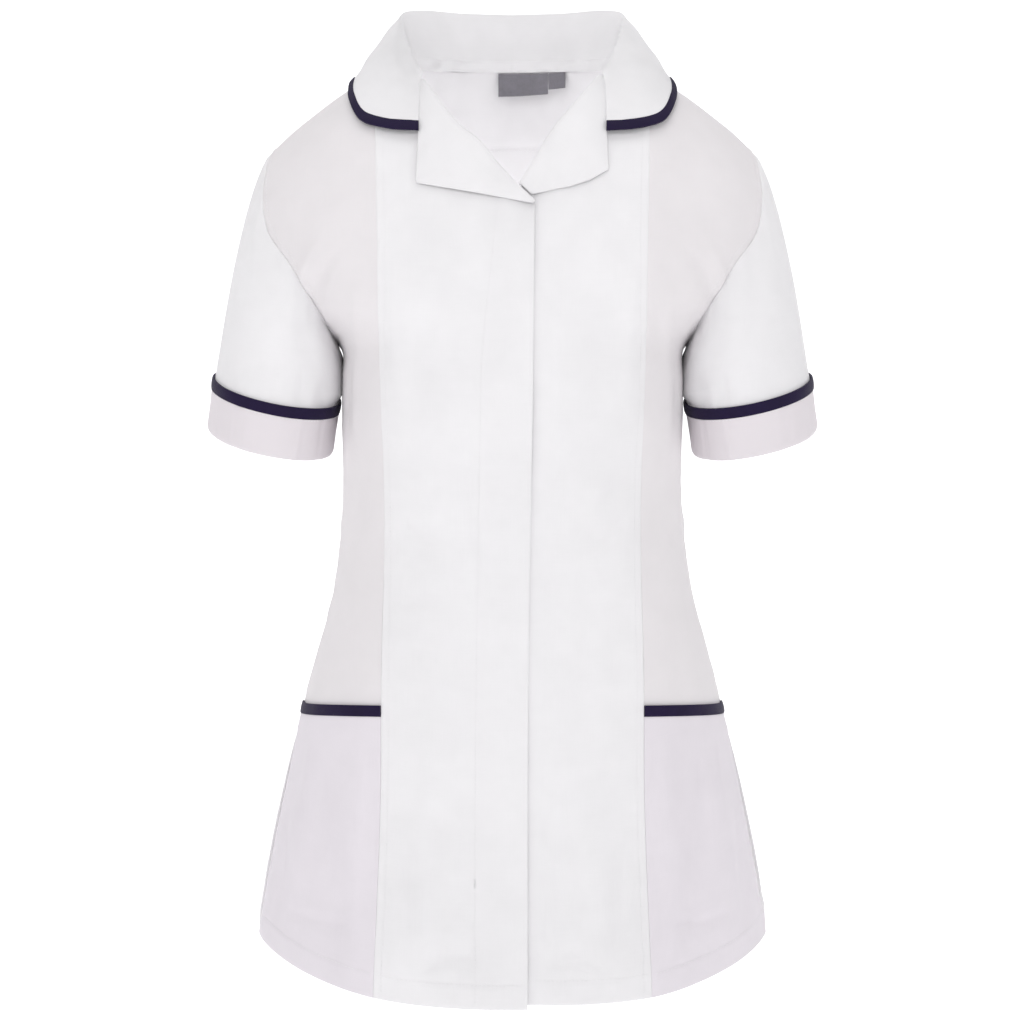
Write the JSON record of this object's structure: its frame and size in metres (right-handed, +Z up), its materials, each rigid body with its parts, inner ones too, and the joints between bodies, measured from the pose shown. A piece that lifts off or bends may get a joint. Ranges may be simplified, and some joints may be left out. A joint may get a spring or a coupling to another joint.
{
  "type": "medical tunic",
  "caption": "Short-sleeved white medical tunic with navy trim, revere collar, hidden front fastening, patch pockets and side vents.",
  "frame": {"origin": "middle of the neck, level with the nape seam, where the wearer's shoulders hold the garment", "axes": "+Z up, -Y to the front, +X to the wearer's left"},
  "size_m": [0.497, 0.2488, 0.8065],
  "materials": {
    "white_cloth": "white polyester and cotton poplin",
    "navy_trim": "navy bias binding",
    "label": "grey woven label, bare"
  },
  "bodies": {
    "root": {"front_right": "white_cloth", "front_left": "white_cloth", "side_front_right": "white_cloth", "side_front_left": "white_cloth", "back": "white_cloth", "back_yoke": "white_cloth", "sleeve_right": "white_cloth", "sleeve_left": "white_cloth", "cuff_right": "white_cloth", "cuff_left": "white_cloth", "cuff_trim_right": "navy_trim", "cuff_trim_left": "navy_trim", "pocket_right": "white_cloth", "pocket_left": "white_cloth", "pocket_trim_right": "navy_trim", "pocket_trim_left": "navy_trim", "collar": "white_cloth", "collar_trim": "navy_trim", "lapel_right": "white_cloth", "lapel_left": "white_cloth", "neck_binding": "white_cloth", "label": "label", "size_tab": "label"}
  },
  "joints": []
}
